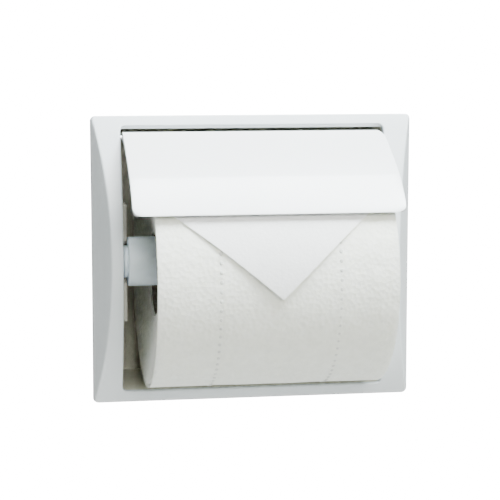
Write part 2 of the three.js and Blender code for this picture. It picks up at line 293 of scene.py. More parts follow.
paperScales = {"fibres": 260, "crepe": 1500, "wave": 55}
paperLooks = {
    "rollTissue": dict(low=(0.845, 0.86, 0.785), high=(0.895, 0.91, 0.835),
                       glow=0.25, glowReach=(0.006, 0.006, 0.005),
                       crepe=0.00007, dotScale=440, press=0.00024, wave=0.0011),
    # Ply-bond dots: darker than the roll to stand for the shade in the pressed dimples, painted shade
    "dotTissuePaintedShade": dict(low=(0.62, 0.63, 0.59), high=(0.70, 0.71, 0.67),
                          glow=0.1, glowReach=(0.001, 0.001, 0.001),
                          crepe=0.0001, dotScale=900, press=0.0002, wave=0.0004),
    # Tail sheet: the same paper as the roll, made brighter and less warm to stand for the light it catches,
    # painted light
    "tailTissuePaintedLight": dict(low=(0.93, 0.935, 0.935), high=(0.96, 0.965, 0.96),
                       glow=0.2, glowReach=(0.002, 0.002, 0.002),
                       crepe=0.00006, dotScale=620, press=0.00008, wave=0.0003),
}


def tissuePaper(name, look):
    # Crepe lines run along the roll, over a pattern of fine pressed dots
    mat, tree, shader, where = startFinish(name)
    fibres = addNoise(tree, where, paperScales["fibres"], detail=5)
    tintBetween(tree, shader, fibres, look["low"], look["high"])
    varyRoughness(tree, shader, fibres, 0.9, 1.0)
    lines = addNoise(tree, where, paperScales["crepe"], detail=3, stretch=(0.35, 1, 1))
    crepe = addBump(tree, shader, lines, look["crepe"])
    dots = tree.nodes.new("ShaderNodeTexVoronoi")
    dots.inputs["Scale"].default_value = look["dotScale"]
    dots.inputs["Randomness"].default_value = 0.9
    tree.links.new(where, dots.inputs["Vector"])
    pressed = addBump(tree, shader, dots.outputs["Distance"], look["press"], under=crepe)
    waves = addNoise(tree, where, paperScales["wave"], detail=3)
    addBump(tree, shader, waves, look["wave"], under=pressed)
    shader.inputs["Sheen Weight"].default_value = 0.15
    shader.inputs["Sheen Roughness"].default_value = 0.6
    shader.inputs["Specular IOR Level"].default_value = 0.2
    letLightIn(shader, look["glow"], look["glowReach"])
    return mat


finishes = {name: mouldedPlastic(name, look) for name, look in plasticLooks.items()}
finishes.update({name: tissuePaper(name, look) for name, look in paperLooks.items()})
finishes["brightSteel"] = streakyFinish("brightSteel", steelLook)
finishes["coreBoard"] = streakyFinish("coreBoard", boardLook)
print("finishes made:", len(finishes))


frontFrame = {
    "halfWidth": 80.0,
    "halfHeight": 71.0,
    "crown": 16.9,  # how far the middle stands out
    "edge": 1.0,  # thickness at the top and bottom edge
    "lean": 8.7 / 16.9,  # sideways lean of the cheeks for each unit outwards
    "bow": 0.15,  # how far the side edges pull in at mid height
    "openingX": 65.5,
    "openingTop": 66.0,
    "openingBottom": -65.0,
    "cornerRadius": 2.5,
    "rimRadius": 0.9,
    "edgeRadius": 0.8,
    "edgeShare": 0.4,  # the most of the height that the edge radius may take
    "wall": 2.4,
    "rimWidth": 2.28,  # the flat that lies on the wall
    "returnWall": 2.0,
    "pocketReach": 56.0,
    "pocketEase": 3.0,
    "seat": 0.3,
    "seatDepth": 0.5,  # the front edge of the tub sits this far in from the wall
    "smoothAngle": 28,
}

screwPosts = {
    "radius": 3.0,
    "taper": (1.3, 2.4),  # how much narrower the front end is, and over what length
    "bore": 1.65,
    "roof": 0.7,  # left solid over the bore
    "axisHole": 0.05,
    "front": -10.9,
    "back": -4.2,
    "x": 71.7,
    "heights": (-36.0, 36.0),
    "sides": 32,
}

frameCuts = {
    "overrun": 1.0,  # each cut runs this far past the wall
    "earWindow": 6.8,  # half height
    "earDepth": 4.3,
    "socket": (-8.4, 0.5),
    "socketRadius": 5.8,
    "hinge": (-3.2, 60.4),
    "hingeSlot": 1.35,
    "hingeEnd": 68.8,
}


def roundedLoop(x0, x1, z0, z1, r, along=14, upward=40, corner=5):
    # Anticlockwise seen from the room, with an outward direction at each point
    out = []
    corners = [((x1 - r, z0 + r), -90), ((x1 - r, z1 - r), 0),
               ((x0 + r, z1 - r), 90), ((x0 + r, z0 + r), 180)]
    for i, ((cx, cz), start) in enumerate(corners):
        for k in range(corner + 1):
            a = math.radians(start + 90 * k / corner)
            out.append((cx + r * math.cos(a), cz + r * math.sin(a), math.cos(a), math.sin(a)))
        (nextX, nextZ), nextStart = corners[(i + 1) % 4]
        fromX, fromZ, nx, nz = out[-1]
        b = math.radians(nextStart)
        toX, toZ = nextX + r * math.cos(b), nextZ + r * math.sin(b)
        steps = upward if i % 2 == 0 else along
        for k in range(1, steps):
            t = k / steps
            out.append((fromX + (toX - fromX) * t, fromZ + (toZ - fromZ) * t, nx, nz))
    return out


def crownAt(z):
    f = frontFrame
    rise = f["crown"] - f["edge"]
    radius = (f["halfHeight"] ** 2 + rise ** 2) / (2 * rise)
    z = min(abs(z), f["halfHeight"])
    return f["crown"] - (radius - math.sqrt(radius ** 2 - z * z))


def pocketAt(z):
    # Depth of the hollow behind each side rail
    f = frontFrame
    inReach = max(0.0, min(1.0, (f["pocketReach"] - abs(z)) / f["pocketEase"]))
    return max(0.0, (crownAt(z) - f["wall"]) * inReach)


def buildFrontFrame(rimSteps=5, faceSteps=8, edgeSteps=4, cheekSteps=4):
    f = frontFrame
    outer = roundedLoop(-f["halfWidth"], f["halfWidth"], -f["halfHeight"], f["halfHeight"], f["cornerRadius"])
    inner = roundedLoop(-f["openingX"], f["openingX"], f["openingBottom"], f["openingTop"], f["cornerRadius"])
    rim = f["rimRadius"]
    loops = []

    def innerLoop(grow, depth):
        loops.append([(x + nx * grow, depth(z + nz * grow), z + nz * grow) for x, z, nx, nz in inner])

    # Inside of the opening, from the wall out to the rim and round it
    for share in (0.0, 0.5, 1.0):
        innerLoop(0, lambda z, s=share: -f["seatDepth"] - (crownAt(z) - rim - f["seatDepth"]) * s)
    for k in range(1, rimSteps + 1):
        a = math.radians(90 * k / rimSteps)
        innerLoop(rim * (1 - math.cos(a)), lambda z, a=a: -(crownAt(z) - rim * (1 - math.sin(a))))

    # The outer front edge, the wall edge below it, and the rounding between front and cheek
    fronts, eases, walls = [], [], []
    for x, z, nx, nz in outer:
        high = crownAt(z)
        wallX = x - f["bow"] * (1 - (z / f["halfHeight"]) ** 2) * nx
        frontX = wallX - f["lean"] * high * (x / f["halfWidth"] if abs(nx) < 0.99 else nx)
        walls.append((wallX, 0.0, z))
        fronts.append((frontX, -high, z))
        eases.append(min(f["edgeRadius"], high * f["edgeShare"]))
    shoulders = []
    for front, ease, (ix, iz, nx, nz) in zip(fronts, eases, inner):
        fx, fz = front[0], front[2]
        step = Vector((ix + nx * rim - fx, 0, iz + nz * rim - fz)).normalized() * ease
        shoulders.append((fx + step.x, -crownAt(fz + step.z), fz + step.z))
    for k in range(1, faceSteps + 1):
        t = k / faceSteps
        ring = []
        for (ix, iz, nx, nz), shoulder in zip(inner, shoulders):
            x0, z0 = ix + nx * rim, iz + nz * rim
            z = z0 + (shoulder[2] - z0) * t
            ring.append((x0 + (shoulder[0] - x0) * t, -crownAt(z), z))
        loops.append(ring)
    feet = []
    for front, ease, wall in zip(fronts, eases, walls):
        feet.append(tuple(Vector(front) + (Vector(wall) - Vector(front)).normalized() * ease))
    rounds = [quadCurve(a, b, c, edgeSteps) for a, b, c in zip(shoulders, fronts, feet)]
    loops += [[curve[k] for curve in rounds] for k in range(edgeSteps)]
    for k in range(1, cheekSteps + 1):
        t = k / cheekSteps
        loops.append([tuple(a + (b - a) * t for a, b in zip(p, q)) for p, q in zip(feet, walls)])

    # Back of the shell: rim on the wall, pocket in each side rail, return wall round the opening
    rimBack, pocketOut, pocketIn, returnBack = [], [], [], []
    for wall, edge, (ix, iz, mx, mz) in zip(walls, outer, inner):
        nx, nz = edge[2:]
        bx, bz = wall[0] - nx * f["rimWidth"], wall[2] - nz * f["rimWidth"]
        deep = pocketAt(bz) * abs(nx)
        back = f["returnWall"] if deep > 1 else f["returnWall"] + f["seat"]
        rx, rz = ix + mx * back, iz + mz * back
        rimBack.append((bx, 0.0, bz))
        pocketOut.append((bx - f["lean"] * deep * nx, -deep, bz))
        pocketIn.append((rx, -deep, rz))
        returnBack.append((rx, -f["seatDepth"], rz))
    loops.extend([rimBack, pocketOut, pocketIn, returnBack])
    verts, faces = stitchLoops(loops)
    return makePiece("frameShell", verts, faces, finishes["frameWhite"], f["smoothAngle"])


def screwPost(x, z):
    # A hollow post along Y behind the front of the rail
    p = screwPosts
    narrower, over = p["taper"]
    roof = p["front"] + p["roof"]
    profile = [(p["front"], p["radius"] - narrower), (p["front"] + over, p["radius"]),
               (p["back"], p["radius"]), (p["back"], p["bore"]),
               (roof, p["bore"]), (roof, p["axisHole"]), (p["front"], p["axisHole"])]
    loops = [[(px, y, pz) for px, pz in circlePoints((x, z), radius, p["sides"])] for y, radius in profile]
    return stitchLoops(loops)


def frameOpenings():
    # Windows for the tub ears, sockets for the spindle tips, slots for the ends of the hinge rod
    c = frameCuts
    over = c["overrun"]
    y, z = c["hinge"]
    r = c["hingeSlot"]
    bends = [math.pi * k / 12 for k in range(13)]
    slot = [(over, z - r)] + [(y - r * math.sin(a), z - r * math.cos(a)) for a in bends] + [(over, z + r)]
    parts = []
    for side in (-1, 1):
        near = side * (frontFrame["openingX"] - over)
        far = side * (frontFrame["openingX"] + frontFrame["returnWall"] + over)
        for level in screwPosts["heights"]:
            low, high = level - c["earWindow"], level + c["earWindow"]
            window = [(-c["earDepth"], low), (over, low), (over, high), (-c["earDepth"], high)]
            parts.append(prismAlongX(near, far, window))
        parts.append(prismAlongX(near, far, circlePoints(c["socket"], c["socketRadius"], 48)))
        parts.append(prismAlongX(near, side * c["hingeEnd"], slot))
    return parts


stopBarShape = {
    "overlap": 0.3,  # runs this far into each side rail
    "section": [(-1.7, 67.0), (-1.7, 65.0), (-1.6, 64.78), (-1.4, 64.7),
                (-0.8, 64.7), (-0.6, 64.78), (-0.5, 65.0), (-0.5, 67.0)],
}


def buildStopBar():
    side = frontFrame["openingX"] + stopBarShape["overlap"]
    verts, faces = prismAlongX(-side, side, stopBarShape["section"])
    return makePiece("stopBar", verts, faces, finishes["frameWhite"], smoothAngle=40)


frameShell = buildFrontFrame()
posts = [screwPost(side * screwPosts["x"], level) for side in (-1, 1) for level in screwPosts["heights"]]
combine(frameShell, joinParts("posts", posts, finishes["frameWhite"]), "UNION", frontFrame["smoothAngle"])
openings = joinParts("openings", frameOpenings(), finishes["frameWhite"])
combine(frameShell, openings, "DIFFERENCE", frontFrame["smoothAngle"])
stopBar = buildStopBar()
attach(stopBar, "housing")
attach(frameShell, "housing")
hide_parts("front_frame")
print("front frame built")


coverFlap = {
    "halfWidth": 64.6,
    "start": [(-3.2, 62.8), (-4.6, 63.2)],
    "arcs": [  # bend, end and steps of each arc of the face, from the hinge down
        ((-6.6, 63.3), (-8.4, 62.3), 6),
        ((-24.9, 55.0), (-41.8, 43.9), 26),
        ((-50.9, 36.8), (-56.8, 27.4), 24),
    ],
    "lipBottom": 27.2,
    "thickness": 2.2,
    "lipThickness": 3.0,
    "lipLength": 4.0,
    "cornerRadius": 4.5,
    "notchWidth": 3.2,  # cut from the top right corner
    "notchLength": 8.0,
    "rounding": 0.55,
    "columns": 36,
    "knuckleRadius": 2.4,
    "knuckleBore": 1.35,
    "knuckleEdge": 0.3,
    "sides": 32,
}


def coverProfile():
    points = list(coverFlap["start"])
    for bend, end, steps in coverFlap["arcs"]:
        points += quadCurve(points[-1], bend, end, steps)
    return points


def buildCover():
    c = coverFlap
    face = coverProfile()
    length = [0.0]
    for a, b in zip(face, face[1:]):
        length.append(length[-1] + math.dist(a, b))
    columns = c["columns"]
    outerRows, innerRows = [], []
    for i, (y, z) in enumerate(face):
        toLip = length[-1] - length[i]
        before, after = face[max(i - 1, 0)], face[min(i + 1, len(face) - 1)]
        along = Vector((after[0] - before[0], after[1] - before[1])).normalized()
        inLip = max(0.0, 1 - toLip / c["lipLength"])
        thick = c["thickness"] + (c["lipThickness"] - c["thickness"]) * inLip ** 2
        over = max(0.0, c["cornerRadius"] - toLip)
        half = c["halfWidth"] - (c["cornerRadius"] - math.sqrt(max(c["cornerRadius"] ** 2 - over ** 2, 0.0)))
        inNotch = max(0.0, 1 - length[i] / c["notchLength"])
        right = half - c["notchWidth"] * inNotch
        row, under = [], []
        for k in range(columns + 1):
            x = -half + (half + right) * k / columns
            row.append((x, y, z))
            under.append((x, y - along.y * thick, max(z + along.x * thick, c["lipBottom"])))
        outerRows.append(row)
        innerRows.append(under)
    rows = len(face)
    width = columns + 1
    verts = [v for row in outerRows + innerRows for v in row]
    base = rows * width
    faces = []
    for i in range(rows - 1):
        for k in range(columns):
            a, b = i * width + k, (i + 1) * width + k
            faces.append((a, a + 1, b + 1, b))
            faces.append((base + a, base + b, base + b + 1, base + a + 1))
        for k in (0, columns):
            a, b = i * width + k, (i + 1) * width + k
            faces.append((a, b, base + b, base + a))
    for i in (0, rows - 1):
        for k in range(columns):
            a = i * width + k
            faces.append((a, a + 1, base + a + 1, base + a))
    plate = makePiece("coverPlate", verts, faces, finishes["coverWhite"], smoothAngle=40)
    addBevel(plate, c["rounding"], segments=3, sharpest=45)
    addWeld(plate, reach=0.015)
    bakeModifiers(plate, smoothAngle=40)
    return plate


def buildKnuckle():
    # The tube round the hinge rod, short of the notch on the right
    c = coverFlap
    left, right = -c["halfWidth"], c["halfWidth"] - c["notchWidth"]
    outer, edge = c["knuckleRadius"], c["knuckleEdge"]
    profile = [(left, c["knuckleBore"]), (left, outer - edge), (left + edge, outer),
               (right - edge, outer), (right, outer - edge), (right, c["knuckleBore"])]
    return turnedPiece("coverKnuckle", profile, frameCuts["hinge"], c["sides"], finishes["coverWhite"])


coverPlate = buildCover()
coverKnuckle = buildKnuckle()
for piece in (coverPlate, coverKnuckle):
    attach(piece, "cover")
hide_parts("cover_flap")
print("cover built")


paperRoll = {
    "axis": (-8.4, -6.4),
    "left": -54.0,
    "right": 60.0,
    "radius": 55.0,
    "bore": 20.3,
    "edge": 2.0,
    "edgeSteps": 6,
    "sides": 180,
    "rows": 56,  # along the front
    "plies": 46,  # winding ridges on each end face
    "ridge": 0.03,
    "unevenness": 0.04,
    "skew": 0.011,  # the wraps lean a little to the left towards the back
    "dish": 4.6,  # how far the innermost wraps sit inside the outer ones
    "dishCurve": 1.1,
    "sag": 0.12,  # the outer wraps lie this much inside the full radius
    "sagDepth": 1.5,
    "dents": [  # depth, waves per millimetre along the roll, waves round it, start
        (0.10, 0.0, 2, 0.6),
        (0.07, 1 / 9, 3, 0.0),
        (0.05, 1 / 4, -2, 0.0),
    ],
}


def rollProfile():
    r = paperRoll
    middle, half = (r["right"] + r["left"]) / 2, (r["right"] - r["left"]) / 2
    ridges = np.random.default_rng(7).uniform(-r["unevenness"], r["unevenness"], r["plies"])
    faceHeight = r["radius"] - r["edge"] - r["bore"]
    endFace = []
    for k in range(r["plies"]):
        share = k / (r["plies"] - 1)
        inward = r["dish"] * (1 - share) ** r["dishCurve"]
        inward += ridges[k] + r["ridge"] * (1 if k % 2 else -1)
        endFace.append((r["bore"] + faceHeight * share, inward))
    bends = [math.radians(90 * k / r["edgeSteps"]) for k in range(1, r["edgeSteps"])]
    # A narrow groove runs round each end, just inside the edge
    groove = [r["edge"] * (1 - math.cos(a)) for a in bends]
    profile = [(middle - half + inward, radius) for radius, inward in endFace]
    profile += [(middle - half + depth, r["radius"] - depth) for depth in reversed(groove)]
    flat = half - r["edge"]
    profile += [(middle + flat * (2 * k / r["rows"] - 1), r["radius"]) for k in range(r["rows"] + 1)]
    profile += [(middle + half - depth, r["radius"] - depth) for depth in groove]
    profile += [(middle + half - inward, radius) for radius, inward in reversed(endFace)]
    return profile


def buildRoll():
    r = paperRoll
    piece = turnedPiece("paperRoll", rollProfile(), r["axis"], r["sides"], finishes["rollTissue"],
                        smoothAngle=50)
    # The roll leans a little, and its outer wraps are uneven
    for v in piece.data.vertices:
        v.co.x -= r["skew"] * (v.co.y - (r["axis"][0] - r["radius"]) * mm)
        x, y, z = v.co.x / mm, v.co.y / mm - r["axis"][0], v.co.z / mm - r["axis"][1]
        radius = math.hypot(y, z)
        if radius < r["radius"] - r["sagDepth"]:
            continue
        angle = math.atan2(z, y)
        dip = 0.0
        for depth, along, around, start in r["dents"]:
            dip += depth * math.sin(x * along + angle * around + start)
        scale = (radius - r["sag"] + dip) / radius
        v.co.y = (r["axis"][0] + y * scale) * mm
        v.co.z = (r["axis"][1] + z * scale) * mm
    return piece


paperRollPiece = buildRoll()
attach(paperRollPiece, "roll")
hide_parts("paper_roll")
print("roll built")


coreShape = {
    "left": -49.3,
    "right": 55.3,
    "inner": 19.0,
    "outer": 20.2,
    "edge": (0.2, 0.3),  # along the tube and across its wall
    "sides": 96,
}


def buildCore():
    c = coreShape
    along, across = c["edge"]
    inner, outer = c["inner"], c["outer"]
    rim = [(along, inner), (0.0, inner + across), (0.0, outer - across), (along, outer)]
    profile = [(c["left"] + x, radius) for x, radius in rim]
    profile += [(c["right"] - x, radius) for x, radius in reversed(rim)]
    return turnedPiece("coreTube", profile, paperRoll["axis"], c["sides"], finishes["coreBoard"])


coreTube = buildCore()
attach(coreTube, "roll")
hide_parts("core_tube")
print("core built")


foldedTail = {
    "inset": 0.3,  # from each end of the roll
    "tipX": 4.0,
    "tipAngle": -5.0,
    "topAngle": 74.0,
    "slopeLeft": 0.83,
    "slopeRight": 0.96,
    "wrapRadius": 56.55,  # a point's distance up the sheet turns into an angle with this
    "layRadius": 55.65,
    "foldGap": 0.8,  # the turned corners lie this far behind the front
    "foldEase": 0.5,
    "thickness": 0.22,
    "lift": 1.98,  # how far the tip stands off the roll
    "liftReach": 40.0,
    "liftCurve": 1.5,
    "rows": 96,
    "sideColumns": 26,
    "midColumns": 34,
    "crowding": 0.7,  # draws the columns together beside the folds
}


def tailGrid(total):
    # The flat sheet as rows of (across, up, part), with a column on each fold line
    t = foldedTail
    left, right = paperRoll["left"] + t["inset"], paperRoll["right"] - t["inset"]
    grid = []
    for i in range(t["rows"] + 1):
        v = total * (i / t["rows"])
        foldL = max(left, t["tipX"] - v / t["slopeLeft"])
        foldR = min(right, t["tipX"] + v / t["slopeRight"])
        row = []
        for k in range(t["sideColumns"]):
            u = left + (foldL - left) * (k / t["sideColumns"]) ** t["crowding"]
            row.append((u, v, "left" if foldL > left else "middle"))
        for k in range(t["midColumns"] + 1):
            row.append((foldL + (foldR - foldL) * k / t["midColumns"], v, "middle"))
        for k in range(1, t["sideColumns"] + 1):
            u = foldR + (right - foldR) * (1 - (1 - k / t["sideColumns"]) ** t["crowding"])
            row.append((u, v, "right" if foldR < right else "middle"))
        grid.append(row)
    return grid


def foldOver(u, v, sign, slope):
    # Turn a point of the sheet's corner back over the fold line
    t = foldedTail
    d = Vector((sign, slope)).normalized()
    p = Vector((u - t["tipX"], v))
    q = 2 * p.dot(d) * d - p
    away = abs(p.x * d.y - p.y * d.x)
    return q.x + t["tipX"], q.y, t["foldGap"] * min(1.0, away / t["foldEase"])


def layOnRoll(x, v, radius):
    ay, az = paperRoll["axis"]
    a = math.radians(foldedTail["tipAngle"]) + v / foldedTail["wrapRadius"]
    return (x, ay - radius * math.cos(a), az + radius * math.sin(a))


def buildTail():
    t = foldedTail
    total = math.radians(t["topAngle"] - t["tipAngle"]) * t["wrapRadius"]
    grid = tailGrid(total)
    sides = {"left": (-1, t["slopeLeft"]), "right": (1, t["slopeRight"])}
    verts = []
    for u, v, part in (point for row in grid for point in row):
        x, w, gap = foldOver(u, v, *sides[part]) if part in sides else (u, v, 0.0)
        lift = t["lift"] * max(0.0, 1 - w / t["liftReach"]) ** t["liftCurve"]
        verts.append(layOnRoll(x, w, t["layRadius"] - gap + lift))
    width = len(grid[0])
    faces = []
    for i in range(t["rows"]):
        for k in range(width - 1):
            a, b = i * width + k, (i + 1) * width + k
            faces.append((a, b, b + 1, a + 1))
    mesh = cleanMesh("foldedTail", verts, faces, near=2e-6, tiny=1e-6, turnOut=False)
    piece = addObject("foldedTail", mesh)
    # The tail gets the brighter copy of the roll's paper: painted light
    mesh.materials.append(finishes["tailTissuePaintedLight"])
    thicken = piece.modifiers.new("thicken", "SOLIDIFY")
    thicken.thickness = t["thickness"] * mm
    thicken.offset = 0
    bakeModifiers(piece, smoothAngle=60)
    return piece, total


foldedTailPiece, tailLength = buildTail()
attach(foldedTailPiece, "roll")
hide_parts("paper_tail")
print("tail built, length", round(tailLength, 1))


class NodeTree:
    # A Geometry Nodes tree with named inputs, run once on an empty mesh
    def __init__(self, name, inputs):
        self.tree = bpy.data.node_groups.new(name, "GeometryNodeTree")
        self.tree.interface.new_socket("Geometry", in_out="OUTPUT", socket_type="NodeSocketGeometry")
        self.keys = {}
        for label, kind in inputs.items():
            item = self.tree.interface.new_socket(label, in_out="INPUT", socket_type="NodeSocket" + kind)
            self.keys[label] = item.identifier
        self.given = self.tree.nodes.new("NodeGroupInput").outputs
        self.result = self.tree.nodes.new("NodeGroupOutput").inputs["Geometry"]

    def feed(self, socket, value):
        # Join to another socket, or set to a plain value
        if isinstance(value, bpy.types.NodeSocket):
            self.tree.links.new(value, socket)
        else:
            socket.default_value = value

    def node(self, kind, **values):
        return self.wired(kind, values)

    def wired(self, kind, values):
        # For sockets whose names are more than one word
        node = self.tree.nodes.new(kind)
        for label, value in values.items():
            self.feed(node.inputs[label], value)
        return node

    def maths(self, operation, a, b=0.0):
        node = self.tree.nodes.new("ShaderNodeMath")
        node.operation = operation
        for socket, value in zip(node.inputs, (a, b)):
            self.feed(socket, value)
        return node.outputs["Value"]

    def times(self, a, b):
        return self.maths("MULTIPLY", a, b)

    def vector(self, x=0.0, y=0.0, z=0.0):
        return self.wired("ShaderNodeCombineXYZ", {"X": x, "Y": y, "Z": z}).outputs["Vector"]

    def join(self, *shapes):
        node = self.tree.nodes.new("GeometryNodeJoinGeometry")
        for shape in shapes:
            self.tree.links.new(shape, node.inputs["Geometry"])
        return node.outputs["Geometry"]

    def boolean(self, operation, shapes, whole=None):
        node = self.tree.nodes.new("GeometryNodeMeshBoolean")
        node.operation = operation
        if whole is not None:
            self.tree.links.new(whole, node.inputs["Mesh 1"])
        for shape in shapes:
            self.tree.links.new(shape, node.inputs["Mesh 2"])
        return node.outputs["Mesh"]

    def moved(self, shape, place=(0, 0, 0), turn=(0, 0, 0)):
        values = {"Geometry": shape, "Translation": place, "Rotation": turn}
        return self.wired("GeometryNodeTransform", values).outputs["Geometry"]

    def close(self, shape, finish):
        real = self.wired("GeometryNodeRealizeInstances", {"Geometry": shape})
        values = {"Geometry": real.outputs["Geometry"], "Material": finish}
        self.tree.links.new(self.wired("GeometryNodeSetMaterial", values).outputs["Geometry"], self.result)

    def run(self, values, smoothAngle):
        holder = addObject(self.tree.name, bpy.data.meshes.new(self.tree.name))
        modifier = holder.modifiers.new("shape", "NODES")
        modifier.node_group = self.tree
        for label, value in values.items():
            modifier[self.keys[label]] = value
        bakeModifiers(holder, smoothAngle)
        mesh = holder.data
        bpy.data.objects.remove(holder)
        return mesh


def gatherMeshes(name, parts, finish, smoothAngle):
    # Copies of baked meshes, each with its own place, as one piece
    bm = bmesh.new()
    for mesh, place in parts:
        copy = mesh.copy()
        copy.transform(place)
        bm.from_mesh(copy)
        bpy.data.meshes.remove(copy)
    mesh = bpy.data.meshes.new(name)
    bm.to_mesh(mesh)
    bm.free()
    mesh.materials.append(finish)
    smoothMesh(mesh, smoothAngle)
    return addObject(name, mesh)


plyBond = {
    "lines": (-24.5, 32.0),  # where the two rows cross the roll
    "pitch": 4.45,
    "length": 2.1,
    "width": 1.8,
    "height": 0.30,
}


def dotRowTree():
    # One row of pressed dots round the roll
    t = NodeTree("dotRow", {"Radius": "Float", "Dots": "Int", "Dot Size": "Vector"})
    circle = t.node("GeometryNodeCurvePrimitiveCircle", Resolution=180, Radius=t.given["Radius"])
    spots = t.node("GeometryNodeCurveToPoints", Curve=circle.outputs["Curve"], Count=t.given["Dots"])
    dot = t.node("GeometryNodeMeshIcoSphere", Radius=1.0, Subdivisions=2)
    row = t.node("GeometryNodeInstanceOnPoints", Points=spots.outputs["Points"],
                 Rotation=spots.outputs["Rotation"], Instance=dot.outputs["Mesh"], Scale=t.given["Dot Size"])
    # The dots get the darker finish: painted shade of the dimples
    t.close(t.moved(row.outputs["Instances"], turn=(0, math.pi / 2, 0)), finishes["dotTissuePaintedShade"])
    return t


def buildPlyBond():
    p = plyBond
    radius = paperRoll["radius"] - paperRoll["sag"]
    row = dotRowTree().run({
        "Radius": radius * mm,
        "Dots": round(2 * math.pi * radius / p["pitch"]),
        "Dot Size": (p["height"] * mm, p["width"] / 2 * mm, p["length"] / 2 * mm),
    }, smoothAngle=60)
    y, z = paperRoll["axis"]
    places = [(row, Matrix.Translation((x * mm, y * mm, z * mm))) for x in p["lines"]]
    return gatherMeshes("pressedDots", places, finishes["dotTissuePaintedShade"], smoothAngle=60)


pressedDots = buildPlyBond()
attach(pressedDots, "roll")
print("ply dots built:", len(pressedDots.data.polygons), "faces")


# The coil spring inside the spindle
coilSpring = {
    "from": -60.3,
    "to": -18.8,
    "centre": (-8.4, 0.5),
    "radius": 9.4,
    "wire": 0.6,
    "turns": 8.0,
    "closing": 0.6,  # how much the end turns draw together
    "stroke": 9.0,
}


def springTree():
    t = NodeTree("spring", {
        "Turns": "Float", "Coil Radius": "Float", "Wire Radius": "Float",
        "Length": "Float", "Closing": "Float"})
    spiral = t.wired("GeometryNodeCurveSpiral", {
        "Resolution": 40, "Rotations": t.given["Turns"], "Height": t.given["Length"],
        "Start Radius": t.given["Coil Radius"], "End Radius": t.given["Coil Radius"]})
    place = t.node("GeometryNodeInputPosition").outputs["Position"]
    spot = t.node("ShaderNodeSeparateXYZ", Vector=place).outputs
    share = t.maths("DIVIDE", spot["Z"], t.given["Length"])
    swing = t.maths("SINE", t.times(share, 2 * math.pi))
    shift = t.times(swing, t.times(t.given["Closing"], -1 / (2 * math.pi)))
    height = t.times(t.maths("ADD", share, shift), t.given["Length"])
    drawn = t.node("GeometryNodeSetPosition", Geometry=spiral.outputs["Curve"],
                   Position=t.vector(spot["X"], spot["Y"], height))
    section = t.node("GeometryNodeCurvePrimitiveCircle", Resolution=10, Radius=t.given["Wire Radius"])
    wire = t.wired("GeometryNodeCurveToMesh", {
        "Curve": drawn.outputs["Geometry"], "Profile Curve": section.outputs["Curve"], "Fill Caps": True})
    t.close(t.moved(wire.outputs["Mesh"], turn=(0, math.pi / 2, 0)), finishes["brightSteel"])
    return t


def buildSpring():
    c = coilSpring
    coil = springTree().run({
        "Turns": c["turns"],
        "Coil Radius": c["radius"] * mm,
        "Wire Radius": c["wire"] * mm,
        "Length": (c["to"] - c["from"]) * mm,
        "Closing": c["closing"],
    }, smoothAngle=60)
    y, z = c["centre"]
    place = Matrix.Translation((c["from"] * mm, y * mm, z * mm))
    return gatherMeshes("coilSpring", [(coil, place)], finishes["brightSteel"], smoothAngle=60)


springPiece = buildSpring()
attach(springPiece, "spindle")
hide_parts("spindle_spring")
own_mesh(springPiece)
print("spring built:", len(springPiece.data.polygons), "faces")


# Screws have a head with a cross recess over a threaded shank
screwKinds = {
    "frameScrews": dict(node="frame_screw", head=2.8, headHeight=1.5, shank=1.45, length=8.0,
                        at=(71.7, -2.0, 36.0), faces="back"),
    "plateScrews": dict(node="plate_screw", head=2.8, headHeight=1.4, shank=1.45, length=7.0,
                        at=(63.5, 5.0, 20.0), faces="middle"),
    "tubScrews": dict(node="tub_screw", head=3.5, headHeight=2.2, shank=1.75, length=12.5,
                      at=(65.5, 28.0, 46.0), faces="middle"),
}
screwShares = {
    "band": 0.45,  # of the head's height, below the dome
    "dome": 0.66,  # of the head's radius, at the top
    "recess": 0.5,  # of the head's height
    "bladeLength": 0.9,  # of the head's radius
    "bladeWidth": 0.24,
    "root": 0.76,  # of the shank's radius, under the thread
    "point": 1.4,
    "tip": 0.08,
    "threadPitch": 0.7,
    "threadHeight": 0.23,
    "overlap": 1.04,  # the point reaches into the shank, which reaches into the head
    "pointTop": 0.98,
}
screwSpin = (0.4, 1.1)  # turn of the first recess, and what each next one adds


